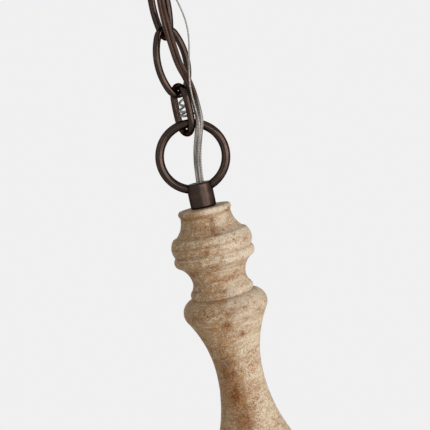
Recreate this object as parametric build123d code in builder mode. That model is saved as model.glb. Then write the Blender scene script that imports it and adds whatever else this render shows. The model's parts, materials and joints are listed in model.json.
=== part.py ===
"""Turned-wood chandelier: ceiling canopy, oval-link chain, and a wooden column with six candle arms."""

import os
from math import asin, atan2, cos, degrees, pi, radians, sin, sqrt, tan

from build123d import *

# All sizes are in millimetres. The ceiling is the plane z = 0, and the light hangs below it.

# Ceiling canopy and its bracket
canopy_radius = 62.0
canopy_depth = 26.0
canopy_rim_height = 5.0
canopy_flat_radius = 15.0
canopy_crown_inset = 14.0
canopy_crown_rise = 9.4
canopy_wall = 1.5
bracket_length = 104.0
bracket_width = 22.0
bracket_thickness = 2.0
bracket_slot_spacing = 70.0
bracket_slot_length = 14.0
bracket_slot_width = 5.0
locknut_size = 8.4
locknut_height = 4.0

# Threaded pipe that holds the canopy, and the long one through the column
pipe_radius = 5.0
pipe_bore_radius = 3.9
pipe_grip = 8.0
thread_gap = 0.05
pipe_gap = 0.3

# Loop fitting: a drilled collar with a ring brazed into its sides, one at each end of the chain
collar_radius = 7.7
collar_height = 15.0
collar_edge = 1.2
cord_hole_radius = 4.2
ring_radius = 19.7
ring_wire = 5.25
ring_rise = 15.9
ring_end_wall = 0.5
braze_gap = 0.05

# Chain of bent oval links, with a shorter connector at the bottom
link_count = 3
link_wire = 4.3
link_length = 43.0
link_width = 23.4
link_end_radius = 6.4
connector_length = 32.2
connector_width = 21.0
connector_end_radius = 8.0
hook_play = 0.3
ring_play = 0.7
chain_turn = 27.4

# Upper turning of the column, from its top face down
column_bore_gap = 0.3
rim_radius = 16.1
rim_height = 3.6
rim_edge = 0.9
top_cove_height = 11.6
top_cove_flare = 5.2
quirk_height = 0.7
bead_radius = 24.5
bead_inset = 2.2
bead_height = 10.8
groove_radius = 23.1
lower_bead_height = 6.6
waist_top_radius = 22.0
waist_radius = 16.3
waist_upper_height = 10.6
waist_lower_height = 4.6
waist_bottom_radius = 17.9
collar_bead_radius = 19.1
collar_bead_height = 5.0
collar_bead_inset = 0.8

# Vase: shoulder, long neck and pear-shaped bulb
shoulder_radius = 25.7
shoulder_height = 8.2
lip_radius = 24.4
lip_height = 4.4
neck_radius = 14.0
neck_upper_height = 37.0
flare_radius = 27.4
neck_lower_height = 50.0
bulb_radius = 44.0
bulb_upper_height = 62.0
foot_radius = 24.0
bulb_lower_height = 47.0

# Lower turning, between the vase and the hub
fillet_radius = 21.0
fillet_height = 3.0
stem_bead_radius = 27.0
stem_bead_height = 12.0
stem_radius = 15.0
stem_upper_height = 30.0
stem_lower_height = 26.0
stem_foot_radius = 27.0
stem_foot_height = 10.0

# Hub that carries the arms
hub_radius = 37.0
hub_height = 38.0
hub_edge = 6.0
hub_cavity_radius = 22.0
hub_cavity_height = 27.0

# Bowl and drop under the hub
bowl_radius = 33.0
bowl_rim_height = 6.0
bowl_height = 30.0
bowl_foot_radius = 13.0
drop_radius = 14.5
drop_height = 24.0
drop_foot_radius = 8.5
acorn_radius = 7.0
acorn_height = 9.0
acorn_band = 2.0
acorn_grip = 6.0

# Arms
arm_count = 6
arm_radius = 4.0
arm_bore_radius = 2.8
arm_inner_reach = 6.0
arm_straight = 8.0
arm_drop_radius = 60.0
arm_drop_angle = 48.0
arm_slope_length = 34.0
arm_sweep_radius = 78.0
arm_rise = 4.0
arm_tip = 15.0
arm_gap = 0.1
arm_nut_size = 6.8
arm_nut_height = 4.0
rosette_radius = 10.5
rosette_height = 3.5
rosette_lip = 1.2

# Candle on each arm
dish_radius = 27.0
dish_depth = 6.0
dish_wall = 1.3
dish_foot_radius = 11.0
cup_radius = 15.5
cup_foot_radius = 10.0
cup_height = 19.0
cup_floor = 8.0
cup_lip = 4.0
sleeve_radius = 11.0
sleeve_wall = 1.0
sleeve_length = 62.0
sleeve_gap = 0.2
socket_bore_radius = 6.2
socket_bore_depth = 21.0
socket_wall = 2.6
socket_top_gap = 3.0
socket_stem_radius = 6.0

# Supply cord and earth wire, as lists of points down the side of the chain
arc_share = 0.45
cord_diameter = 4.8
earth_diameter = 1.2
cord_route = [
    (0.2, -1.0, -37.5),
    (1.4, -1.8, -50.0),
    (5.0, -4.6, -63.5),
    (8.6, -8.8, -79.0),
    (6.8, -11.2, -94.0),
    (3.0, -12.8, -108.5),
    (0.9, -13.0, -123.0),
    (1.0, -11.6, -137.0),
    (2.9, -9.6, -150.4),
    (3.9, -8.9, -161.5),
    (6.2, -5.2, -169.5),
    (8.0, -2.4, -178.0),
    (8.5, -4.2, -187.5),
    (8.9, -6.6, -196.0),
    (6.9, -6.5, -204.5),
    (3.8, -4.2, -213.5),
    (1.2, -1.9, -224.5),
    (0.2, -1.0, -236.5),
]
earth_route = [
    (2.8, 0.9, -37.5),
    (3.8, 1.2, -51.0),
    (7.4, -1.2, -66.0),
    (11.4, -5.0, -81.0),
    (10.8, -7.4, -96.0),
    (8.6, -9.4, -110.0),
    (9.0, -9.6, -121.5),
    (11.8, -8.6, -131.5),
    (13.0, -6.8, -140.5),
    (12.2, -5.2, -149.5),
    (10.2, -5.6, -158.0),
    (8.8, -8.4, -165.5),
    (7.2, -9.4, -173.0),
    (7.0, -8.4, -181.0),
    (7.6, -8.8, -189.0),
    (7.9, -10.6, -196.0),
    (5.2, -10.0, -202.5),
    (1.8, -6.4, -209.0),
    (-0.9, -1.9, -217.0),
    (-0.8, 1.9, -226.5),
    (0.0, 2.5, -236.5),
]

os.makedirs("parts", exist_ok=True)


def save(piece, name):
    """Label a finished piece and write it as its own STEP file."""
    piece.part.label = name
    export_step(piece.part, f"parts/{name}.step")


def upright(angle, distance=0.0, height=0.0):
    """A vertical plane through a point: local x points outward at the angle, local y points up."""
    out = Vector(1, 0, 0).rotate(Axis.Z, angle)
    return Plane(origin=out * distance + Vector(0, 0, height), x_dir=out, z_dir=out.cross(Vector(0, 0, 1)))


def facing_out(angle, distance):
    """A plane square to an arm's root, at a distance from the column's axis, facing outward."""
    out = Vector(1, 0, 0).rotate(Axis.Z, angle)
    return Plane(origin=out * distance + Vector(0, 0, arm_height), z_dir=out)


def half_bead(root, crest, top, bottom):
    """Outline of a rounded bead: half an ellipse that stands out from its root to its crest."""
    middle = (root, (top + bottom) / 2)
    return EllipticalCenterArc(middle, crest - root, (top - bottom) / 2, start_angle=-90, arc_size=180)


# Heights down the chain, worked out from the wires that hook into each other
fitting_reach = collar_height + ring_rise + ring_radius
top_hook = -canopy_depth - fitting_reach
ring_hook = (ring_wire + link_wire) / 2 + ring_play
link_hook = link_wire + hook_play
link_run = link_length - link_wire
link_tops = [top_hook + ring_hook - index * (link_run - link_hook) for index in range(link_count)]
connector_top = link_tops[-1] - link_run + link_hook
connector_bottom = connector_top - (connector_length - link_wire)
column_top = connector_bottom + ring_hook - fitting_reach
canopy_seat = -canopy_depth


# Ceiling bracket, with two slots for the screws of the ceiling box
with BuildPart() as bracket:
    with BuildSketch():
        RectangleRounded(bracket_length, bracket_width, bracket_width / 4)
        with GridLocations(bracket_slot_spacing, 0, 2, 1):
            SlotOverall(bracket_slot_length, bracket_slot_width, mode=Mode.SUBTRACT)
        Circle(pipe_radius + thread_gap, mode=Mode.SUBTRACT)
    extrude(amount=-bracket_thickness)
save(bracket, "ceiling_bracket")

# Short threaded pipe from the bracket down into the top collar
with BuildPart() as canopy_pipe:
    with BuildSketch():
        Circle(pipe_radius)
        Circle(pipe_bore_radius, mode=Mode.SUBTRACT)
    extrude(amount=-(canopy_depth + pipe_grip))
save(canopy_pipe, "canopy_pipe")

# Locknut that clamps the pipe under the bracket
with BuildPart() as locknut:
    with BuildSketch(Plane.XY.offset(-bracket_thickness)):
        RegularPolygon(locknut_size, 6)
        Circle(pipe_radius + thread_gap, mode=Mode.SUBTRACT)
    extrude(amount=-locknut_height)
save(locknut, "pipe_locknut")

# Domed canopy, open towards the ceiling
with BuildPart() as canopy:
    with BuildSketch(Plane.XZ):
        with BuildLine():
            rim = Line((canopy_radius, 0), (canopy_radius, -canopy_rim_height))
            crown = (
                canopy_radius - canopy_crown_inset,
                canopy_seat + canopy_crown_rise,
            )
            dome = ThreePointArc(rim @ 1, crown, (canopy_flat_radius, canopy_seat))
            Polyline(dome @ 1, (0, canopy_seat), (0, 0), rim @ 0)
        make_face()
    revolve(axis=Axis.Z)
    offset(amount=-canopy_wall, openings=canopy.faces().sort_by(Axis.Z)[-1])
    with BuildSketch(Plane.XY.offset(canopy_seat)):
        Circle(pipe_radius + pipe_gap)
    extrude(amount=canopy_wall, mode=Mode.SUBTRACT)
save(canopy, "canopy")


def loop_fitting(seat, way, angle):
    """Collar that stands on a seat, up (way 1) or down (way -1), and the ring brazed into its sides."""
    end_angle = degrees(asin((cord_hole_radius + ring_end_wall) / ring_radius))
    ring_plane = upright(angle, 0, seat + way * (collar_height + ring_rise))
    with BuildPart() as ring:
        with BuildLine(ring_plane) as ring_line:
            CenterArc((0, 0), ring_radius, -90 * way + end_angle, 360 - 2 * end_angle)
        with BuildSketch(Plane(ring_line.line @ 0, z_dir=ring_line.line % 0)):
            Circle(ring_wire / 2)
        sweep(path=ring_line.line)
    with BuildPart() as collar:
        with BuildSketch(Plane.XY.offset(seat)):
            Circle(collar_radius)
        extrude(amount=way * collar_height)
        fillet(collar.edges().filter_by(GeomType.CIRCLE), collar_edge)
        with BuildSketch(Plane.XY.offset(seat)):
            Circle(cord_hole_radius)
        extrude(amount=way * collar_height, mode=Mode.SUBTRACT)
        with BuildSketch(Plane.XY.offset(seat)):
            Circle(pipe_radius + thread_gap)
        extrude(amount=way * pipe_grip, mode=Mode.SUBTRACT)
        with BuildSketch(Plane(ring_line.line @ 0, z_dir=ring_line.line % 0)):
            Circle(ring_wire / 2 + braze_gap)
        sweep(path=ring_line.line, mode=Mode.SUBTRACT)
    return collar, ring


top_collar, top_ring = loop_fitting(canopy_seat, -1, 90)
save(top_collar, "top_collar")
save(top_ring, "top_ring")
ring_collar, hanging_ring = loop_fitting(column_top, 1, 0)
save(ring_collar, "ring_collar")
save(hanging_ring, "hanging_ring")


def oval_link(length, width, end_radius, top, angle):
    """One bent-wire link: two small end arcs and two large side arcs, all tangent."""
    half_length = (length - link_wire) / 2
    half_width = (width - link_wire) / 2
    end_offset = half_length - end_radius
    span = half_width**2 + half_length**2 - 2 * half_length * end_radius
    side_radius = span / (2 * (half_width - end_radius))
    side_offset = side_radius - half_width
    join = degrees(atan2(end_offset, side_offset))
    with BuildPart() as link:
        with BuildLine(upright(angle, 0, top - half_length)) as wire:
            CenterArc((-side_offset, 0), side_radius, -join, 2 * join)
            CenterArc((0, end_offset), end_radius, join, 180 - 2 * join)
            CenterArc((side_offset, 0), side_radius, 180 - join, 2 * join)
            CenterArc((0, -end_offset), end_radius, 180 + join, 180 - 2 * join)
        with BuildSketch(Plane(wire.line @ 0, z_dir=wire.line % 0)):
            Circle(link_wire / 2)
        sweep(path=wire.line)
    return link


# Neighbouring links stand square to each other
for index, top in enumerate(link_tops):
    turn = chain_turn - 90 * (index % 2)
    save(oval_link(link_length, link_width, link_end_radius, top, turn), f"chain_link_{index + 1}")
connector_turn = chain_turn - 90 * (link_count % 2)
connector = oval_link(connector_length, connector_width, connector_end_radius, connector_top, connector_turn)
save(connector, "connector_link")

# Upper turning: rim, cove, two beads with a groove, waist and a small collar bead
bore_radius = pipe_radius + column_bore_gap
with BuildPart() as upper_turning:
    with BuildSketch(Plane.XZ):
        with BuildLine():
            top_face = Line((bore_radius, column_top), (rim_radius - rim_edge, column_top))
            rim_bottom = column_top - rim_height
            rim_curve = ThreePointArc(
                top_face @ 1,
                (rim_radius, column_top - rim_height / 2),
                (rim_radius - rim_edge, rim_bottom),
            )
            cove_bottom = rim_bottom - top_cove_height
            cove = TangentArc(
                rim_curve @ 1, (rim_radius - rim_edge + top_cove_flare, cove_bottom), tangent=(0, -1)
            )
            bead_top = cove_bottom - quirk_height
            quirk = Line(cove @ 1, (bead_radius - bead_inset, bead_top))
            groove_height = bead_top - bead_height
            bead = ThreePointArc(
                quirk @ 1, (bead_radius, bead_top - bead_height / 2), (groove_radius, groove_height)
            )
            lower_bead_bottom = groove_height - lower_bead_height
            lower_bead = ThreePointArc(
                bead @ 1,
                (bead_radius, groove_height - lower_bead_height / 2),
                (waist_top_radius, lower_bead_bottom),
            )
            waist_height = lower_bead_bottom - waist_upper_height
            waist = TangentArc((waist_radius, waist_height), lower_bead @ 1, tangent=(0, 1))
            waist_foot = TangentArc(
                (waist_radius, waist_height),
                (waist_bottom_radius, waist_height - waist_lower_height),
                tangent=(0, -1),
            )
            vase_top = waist_height - waist_lower_height - collar_bead_height
            collar_bead = ThreePointArc(
                waist_foot @ 1,
                (collar_bead_radius, vase_top + collar_bead_height / 2),
                (collar_bead_radius - collar_bead_inset, vase_top),
            )
            Polyline(collar_bead @ 1, (bore_radius, vase_top), top_face @ 0)
        make_face()
    revolve(axis=Axis.Z)
save(upper_turning, "upper_turning")

# Vase: a rounded shoulder, the long neck and the bulb
with BuildPart() as vase:
    with BuildSketch(Plane.XZ):
        with BuildLine():
            shoulder_bottom = vase_top - shoulder_height
            shoulder = TangentArc(
                (shoulder_radius, shoulder_bottom),
                (collar_bead_radius - collar_bead_inset, vase_top),
                tangent=(0, 1),
            )
            neck_top = shoulder_bottom - lip_height
            lip = TangentArc(shoulder @ 0, (lip_radius, neck_top), tangent=(0, -1))
            neck_height = neck_top - neck_upper_height
            neck = TangentArc((neck_radius, neck_height), lip @ 1, tangent=(0, 1))
            flare_height = neck_height - neck_lower_height
            flare = TangentArc(neck @ 0, (flare_radius, flare_height), tangent=(0, -1))
            bulb_height = flare_height - bulb_upper_height
            bulb = TangentArc(flare @ 1, (bulb_radius, bulb_height), tangent=flare % 1)
            foot_height = bulb_height - bulb_lower_height
            under = TangentArc(bulb @ 1, (foot_radius, foot_height), tangent=bulb % 1)
            Polyline(under @ 1, (bore_radius, foot_height), (bore_radius, vase_top), shoulder @ 1)
        make_face()
    revolve(axis=Axis.Z)
save(vase, "column_vase")

# Lower turning: fillet, bead, a waisted stem and a flared foot that stands on the hub
with BuildPart() as lower_turning:
    with BuildSketch(Plane.XZ):
        with BuildLine():
            stem_bead_top = foot_height - fillet_height
            fillet_line = Polyline(
                (bore_radius, foot_height), (fillet_radius, foot_height), (fillet_radius, stem_bead_top)
            )
            stem_bead_bottom = stem_bead_top - stem_bead_height
            half_bead(fillet_radius, stem_bead_radius, stem_bead_top, stem_bead_bottom)
            stem_height = stem_bead_bottom - stem_upper_height
            stem = TangentArc((stem_radius, stem_height), (fillet_radius, stem_bead_bottom), tangent=(0, 1))
            stem_foot_top = stem_height - stem_lower_height
            stem_flare = TangentArc(stem @ 0, (fillet_radius, stem_foot_top), tangent=(0, -1))
            hub_top = stem_foot_top - stem_foot_height
            half_bead(fillet_radius, stem_foot_radius, stem_foot_top, hub_top)
            Polyline((fillet_radius, hub_top), (bore_radius, hub_top), fillet_line @ 0)
        make_face()
    revolve(axis=Axis.Z)
save(lower_turning, "lower_turning")

# Hub: a turned block with a wiring cavity below and a radial hole for each arm
hub_bottom = hub_top - hub_height
arm_height = hub_bottom + hub_cavity_height / 2
arm_angles = [360 / arm_count * (index + 0.5) for index in range(arm_count)]
rosette_seat = sqrt(hub_radius**2 - rosette_radius**2)
with BuildPart() as hub:
    with BuildSketch(Plane.XY.offset(hub_bottom)):
        Circle(hub_radius)
    extrude(amount=hub_height)
    fillet(hub.edges().group_by(Axis.Z)[-1], hub_edge)
    with BuildSketch(Plane.XY.offset(hub_bottom)):
        Circle(hub_cavity_radius)
    extrude(amount=hub_cavity_height, mode=Mode.SUBTRACT)
    with BuildSketch(Plane.XY.offset(hub_bottom)):
        Circle(bore_radius)
    extrude(amount=hub_height, mode=Mode.SUBTRACT)
    for angle in arm_angles:
        with BuildSketch(facing_out(angle, 0)):
            Circle(arm_radius + arm_gap)
        extrude(amount=hub_radius, mode=Mode.SUBTRACT)
        with BuildSketch(facing_out(angle, rosette_seat)):
            Circle(rosette_radius)
        extrude(amount=hub_radius - rosette_seat, mode=Mode.SUBTRACT)
save(hub, "arm_hub")

# Bowl that closes the wiring cavity, the turned drop under it, and the acorn nut that clamps them
with BuildPart() as bowl:
    with BuildSketch(Plane.XZ):
        with BuildLine():
            bowl_rim = Polyline(
                (bore_radius, hub_bottom), (bowl_radius, hub_bottom), (bowl_radius, hub_bottom - bowl_rim_height)
            )
            bowl_bottom = hub_bottom - bowl_height
            bowl_curve = TangentArc(bowl_rim @ 1, (bowl_foot_radius, bowl_bottom), tangent=(0, -1))
            Polyline(bowl_curve @ 1, (bore_radius, bowl_bottom), bowl_rim @ 0)
        make_face()
    revolve(axis=Axis.Z)
save(bowl, "bottom_bowl")

with BuildPart() as drop:
    with BuildSketch(Plane.XZ):
        with BuildLine():
            drop_bottom = bowl_bottom - drop_height
            drop_top = Line((bore_radius, bowl_bottom), (drop_foot_radius, bowl_bottom))
            half_bead(drop_foot_radius, drop_radius, bowl_bottom, drop_bottom)
            Polyline((drop_foot_radius, drop_bottom), (bore_radius, drop_bottom), drop_top @ 0)
        make_face()
    revolve(axis=Axis.Z)
save(drop, "bottom_drop")

with BuildPart() as acorn:
    with BuildSketch(Plane.XZ):
        with BuildLine():
            acorn_top = Line((0, drop_bottom), (acorn_radius, drop_bottom))
            acorn_bottom = drop_bottom - acorn_height
            acorn_side = Line(acorn_top @ 1, (acorn_radius, drop_bottom - acorn_band))
            acorn_dome = TangentArc((0, acorn_bottom), acorn_side @ 1, tangent=(1, 0))
            Line((0, acorn_bottom), (0, drop_bottom))
        make_face()
    revolve(axis=Axis.Z)
    with BuildSketch(Plane.XY.offset(drop_bottom)):
        Circle(pipe_radius + thread_gap)
    extrude(amount=-acorn_grip, mode=Mode.SUBTRACT)
save(acorn, "acorn_nut")

# Long threaded pipe that strings the turnings together, from the ring's collar to the acorn nut
with BuildPart() as column_pipe:
    with BuildSketch(Plane.XY.offset(drop_bottom - acorn_grip)):
        Circle(pipe_radius)
        Circle(pipe_bore_radius, mode=Mode.SUBTRACT)
    extrude(amount=column_top + pipe_grip - drop_bottom + acorn_grip)
save(column_pipe, "column_pipe")

# Arms: bent tubes that leave the hub level, drop, and sweep up to the candles
arm_start = hub_cavity_radius - arm_inner_reach
arm_bend = hub_radius + arm_straight
drop_turn = radians(arm_drop_angle)
slope_start_x = arm_bend + arm_drop_radius * sin(drop_turn)
slope_start_y = -arm_drop_radius * (1 - cos(drop_turn))
slope_end_x = slope_start_x + arm_slope_length * cos(drop_turn)
slope_end_y = slope_start_y - arm_slope_length * sin(drop_turn)
candle_distance = slope_end_x + arm_sweep_radius * (1 + sin(drop_turn))
sweep_end_y = slope_end_y + arm_sweep_radius * cos(drop_turn)
dish_height = arm_height + sweep_end_y + arm_rise
arm_end_y = sweep_end_y + arm_rise + arm_tip
sweep_center = (slope_end_x + arm_sweep_radius * sin(drop_turn), sweep_end_y)
for index, angle in enumerate(arm_angles):
    with BuildPart() as arm:
        with BuildLine(upright(angle, 0, arm_height)) as arm_line:
            Line((arm_start, 0), (arm_bend, 0))
            CenterArc((arm_bend, -arm_drop_radius), arm_drop_radius, 90, -arm_drop_angle)
            Line((slope_start_x, slope_start_y), (slope_end_x, slope_end_y))
            CenterArc(sweep_center, arm_sweep_radius, 270 - arm_drop_angle, 90 + arm_drop_angle)
            Line((candle_distance, sweep_end_y), (candle_distance, arm_end_y))
        with BuildSketch(Plane(arm_line.line @ 0, z_dir=arm_line.line % 0)):
            Circle(arm_radius)
            Circle(arm_bore_radius, mode=Mode.SUBTRACT)
        sweep(path=arm_line.line)
    save(arm, f"arm_{index + 1}")

# Rosettes on the hub's flats and nuts in its cavity, one of each on every arm
nut_seat = sqrt(hub_cavity_radius**2 - arm_nut_size**2)
with BuildPart() as rosettes:
    for angle in arm_angles:
        with BuildSketch(upright(angle, 0, arm_height)):
            with BuildLine():
                back = Line((rosette_seat, arm_radius + arm_gap), (rosette_seat, rosette_radius))
                dome = TangentArc(
                    back @ 1, (rosette_seat + rosette_height, arm_radius + rosette_lip), tangent=(1, 0)
                )
                Polyline(dome @ 1, (rosette_seat + rosette_height, arm_radius + arm_gap), back @ 0)
            make_face()
        revolve(axis=Axis((0, 0, arm_height), facing_out(angle, 0).z_dir))
save(rosettes, "arm_rosettes")

with BuildPart() as arm_nuts:
    for angle in arm_angles:
        with BuildSketch(facing_out(angle, nut_seat)):
            RegularPolygon(arm_nut_size, 6)
            Circle(arm_radius + thread_gap, mode=Mode.SUBTRACT)
        extrude(amount=-arm_nut_height)
save(arm_nuts, "arm_nuts")

# Nut under each drip dish
with BuildPart() as dish_nuts:
    for angle in arm_angles:
        axis_point = upright(angle, candle_distance, dish_height).origin
        with BuildSketch(Plane(axis_point)):
            RegularPolygon(arm_nut_size, 6)
            Circle(arm_radius + thread_gap, mode=Mode.SUBTRACT)
        extrude(amount=-arm_nut_height)
save(dish_nuts, "dish_nuts")

# Candle on each arm: drip dish, turned cup, sleeve and lamp socket, stacked on the arm's tip
cup_foot = dish_wall
cup_seat = cup_foot + cup_floor
cup_top = cup_foot + cup_height
recess_radius = sleeve_radius + sleeve_gap
socket_radius = socket_bore_radius + socket_wall
socket_top = cup_seat + sleeve_length - socket_top_gap
socket_floor = socket_top - socket_bore_depth
for index, angle in enumerate(arm_angles):
    plane = upright(angle, candle_distance, dish_height)
    candle_axis = Axis(plane.origin, (0, 0, 1))

    with BuildPart() as dish:
        with BuildSketch(plane):
            with BuildLine():
                floor = Line((arm_radius + arm_gap, 0), (dish_foot_radius, 0))
                outside = TangentArc(floor @ 1, (dish_radius, dish_depth), tangent=(1, 0))
                inside = TangentArc(
                    (dish_foot_radius, dish_wall), (dish_radius - dish_wall, dish_depth), tangent=(1, 0)
                )
                Line(outside @ 1, inside @ 1)
                Polyline(inside @ 0, (arm_radius + arm_gap, dish_wall), floor @ 0)
            make_face()
        revolve(axis=candle_axis)
    save(dish, f"drip_dish_{index + 1}")

    with BuildPart() as cup:
        with BuildSketch(plane):
            with BuildLine():
                foot = Line((arm_radius + arm_gap, cup_foot), (cup_foot_radius, cup_foot))
                side = TangentArc((cup_radius, cup_top - cup_lip), foot @ 1, tangent=(0, -1))
                Polyline(
                    side @ 0,
                    (cup_radius, cup_top),
                    (recess_radius, cup_top),
                    (recess_radius, cup_seat),
                    (arm_radius + arm_gap, cup_seat),
                    foot @ 0,
                )
            make_face()
        revolve(axis=candle_axis)
    save(cup, f"candle_cup_{index + 1}")

    with BuildPart() as sleeve:
        with BuildSketch(Plane(plane.origin + Vector(0, 0, cup_seat))):
            Circle(sleeve_radius)
            Circle(sleeve_radius - sleeve_wall, mode=Mode.SUBTRACT)
        extrude(amount=sleeve_length)
    save(sleeve, f"candle_sleeve_{index + 1}")

    with BuildPart() as socket:
        with BuildSketch(plane):
            with BuildLine():
                Polyline(
                    (arm_radius + thread_gap, cup_seat),
                    (socket_stem_radius, cup_seat),
                    (socket_stem_radius, socket_floor - socket_wall),
                    (socket_radius, socket_floor - socket_wall),
                    (socket_radius, socket_top),
                    (socket_bore_radius, socket_top),
                    (socket_bore_radius, socket_floor),
                    (0, socket_floor),
                    (0, arm_tip + thread_gap),
                    (arm_radius + thread_gap, arm_tip + thread_gap),
                    close=True,
                )
            make_face()
        revolve(axis=candle_axis)
    save(socket, f"lamp_socket_{index + 1}")


def flexible_tube(route, diameter, name):
    """A round tube along a route: straight runs joined by tangent arcs as large as the runs allow."""
    points = [Vector(point) for point in route]
    runs = [end - start for start, end in zip(points, points[1:])]
    radii = []
    for before, after in zip(runs, runs[1:]):
        half_turn = radians(before.get_angle(after)) / 2
        radii.append(arc_share * min(before.length, after.length) / tan(half_turn))
    with BuildPart() as tube:
        with BuildLine() as path:
            FilletPolyline(*points, radius=radii)
        with BuildSketch(Plane(path.line @ 0, z_dir=path.line % 0)):
            Circle(diameter / 2)
        sweep(path=path.line)
    length = sum(edge.length for edge in path.edges())
    swept = pi * diameter**2 / 4 * length
    print(name, "radii", [round(radius, 1) for radius in radii], "length", round(length, 1))
    print(name, "volume", round(tube.part.volume, 1), "section times length", round(swept, 1))
    return tube


save(flexible_tube(cord_route, cord_diameter, "supply_cord"), "supply_cord")
save(flexible_tube(earth_route, earth_diameter, "earth_wire"), "earth_wire")
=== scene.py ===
"""Finish and fine parts of a chain-hung chandelier with a turned, washed-wood column."""

import json
from math import cos, exp, hypot, pi, radians, sin, tau

import bpy
import numpy as np
from mathutils import Matrix, Vector, noise


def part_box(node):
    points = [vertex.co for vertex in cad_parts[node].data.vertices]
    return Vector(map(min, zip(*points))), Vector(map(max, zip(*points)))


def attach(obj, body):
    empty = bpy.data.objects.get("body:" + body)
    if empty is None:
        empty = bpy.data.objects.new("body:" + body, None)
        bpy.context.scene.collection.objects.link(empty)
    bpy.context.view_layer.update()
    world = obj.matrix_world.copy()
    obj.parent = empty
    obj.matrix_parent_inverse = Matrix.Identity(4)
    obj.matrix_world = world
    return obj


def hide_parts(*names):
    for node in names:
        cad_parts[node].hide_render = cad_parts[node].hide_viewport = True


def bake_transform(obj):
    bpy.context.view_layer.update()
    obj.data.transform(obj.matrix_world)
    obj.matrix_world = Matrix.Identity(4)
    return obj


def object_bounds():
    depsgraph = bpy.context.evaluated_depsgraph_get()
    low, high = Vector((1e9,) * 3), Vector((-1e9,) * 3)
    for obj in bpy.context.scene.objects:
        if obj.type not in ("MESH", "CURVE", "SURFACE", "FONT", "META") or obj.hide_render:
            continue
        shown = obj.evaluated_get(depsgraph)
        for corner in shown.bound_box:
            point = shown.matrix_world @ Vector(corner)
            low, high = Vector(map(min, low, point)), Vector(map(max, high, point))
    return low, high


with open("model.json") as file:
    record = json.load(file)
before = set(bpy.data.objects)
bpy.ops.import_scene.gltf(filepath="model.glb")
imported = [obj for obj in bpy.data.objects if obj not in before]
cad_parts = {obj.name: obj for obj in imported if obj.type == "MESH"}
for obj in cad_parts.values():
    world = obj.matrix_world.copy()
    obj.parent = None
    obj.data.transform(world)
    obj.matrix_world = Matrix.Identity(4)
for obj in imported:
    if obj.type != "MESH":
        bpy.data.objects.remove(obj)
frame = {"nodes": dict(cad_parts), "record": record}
CAD_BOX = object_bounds()
COLUMN_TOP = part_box("upper_turning")[1].z

bl_info = {
    "name": "Turned Wood Chandelier",
    "version": (1, 0, 0),
    "blender": (4, 5, 0),
    "location": "3D View > Sidebar > Chandelier",
    "description": "Builds the finish of a chain-hung wooden chandelier around its packed frame",
    "category": "Object",
}

MM = 0.001
ARM_NUMBERS = range(1, 7)

# Routes of the two leads beside the chain, as lists of points in millimetres
CORD_ROUTE = [
    (0.2, -1.0, -37.5),
    (1.4, -1.8, -50.0),
    (5.0, -4.6, -63.5),
    (8.6, -8.8, -79.0),
    (6.8, -11.2, -94.0),
    (3.0, -12.8, -108.5),
    (0.9, -13.0, -123.0),
    (1.0, -11.6, -137.0),
    (2.2, -9.6, -150.4),
    (3.4, -8.9, -161.5),
    (6.2, -5.2, -169.5),
    (8.0, -2.4, -178.0),
    (8.5, -4.2, -187.5),
    (8.6, -6.6, -195.5),
    (6.0, -6.5, -203.5),
    (3.2, -4.4, -212.5),
    (1.4, -2.2, -223.5),
    (0.6, -1.0, -236.5),
]
EARTH_ROUTE = [
    (2.8, 0.9, -37.5),
    (3.8, 1.2, -51.0),
    (7.4, -1.2, -66.0),
    (11.4, -5.0, -81.0),
    (10.8, -7.4, -96.0),
    (8.6, -9.4, -110.0),
    (9.0, -9.6, -121.5),
    (11.8, -8.6, -131.5),
    (13.0, -6.8, -140.5),
    (12.2, -5.2, -149.5),
    (10.2, -5.6, -158.0),
    (8.8, -8.4, -165.5),
    (7.2, -9.4, -173.0),
    (7.0, -8.4, -181.0),
    (7.6, -8.8, -189.0),
    (8.0, -9.4, -196.0),
    (6.2, -8.8, -203.5),
    (3.6, -6.6, -212.5),
    (1.7, -4.2, -223.5),
    (0.6, -3.0, -236.5),
]
# The earth strand's twist round the connector: in behind its front leg, through its window
# and back to the cord
TWIST_ROUTE = [
    (6.8, -0.2, -179.6),
    (3.6, 0.6, -180.8),
    (0.4, 0.4, -181.8),
    (-1.6, -1.2, -183.6),
    (0.4, -2.6, -185.0),
    (2.2, -0.2, -185.2),
    (0.2, 2.2, -186.2),
    (-2.2, 0.0, -187.6),
    (0.2, -2.6, -188.8),
    (2.4, 0.0, -188.6),
    (0.0, 2.4, -189.6),
    (-2.0, -0.6, -190.6),
    (0.6, -2.2, -191.4),
    (3.6, -0.8, -190.6),
    (6.4, -2.2, -190.6),
]
# Heights in metres where the leads part into lengths, one for each joint of the chain
LEAD_CUTS = [-0.0930, -0.1270, -0.1605, -0.1915]
# The twin lead rolls this far each way, once in each roll length, in metres
LEAD_ROLL = radians(20)
ROLL_LENGTH = 0.12
# Its jacket turns from brown to grey below this height, over this drop, in metres
JACKET_TURN = -0.180
JACKET_FADE = 0.012

# Side of the column that holds most wash, turned from +X towards the front, and how far round from it
# the wash reaches and fades, towards the front and towards the back. That side faces the window lamp,
# so its paleness is partly wash and partly painted light
WASHED_LIT_SIDE = radians(42)
FRONT_REACH, FRONT_FADE = radians(58), radians(25)
BACK_REACH, BACK_FADE = radians(150), radians(117)

# How many swells, ripples and dents the turned surface has in a metre, about
SWELLS, RIPPLES, DENTS = 70, 240, 130
# A bend in a turned outline that is sharper than this stays a corner
CORNER = radians(24)
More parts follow.
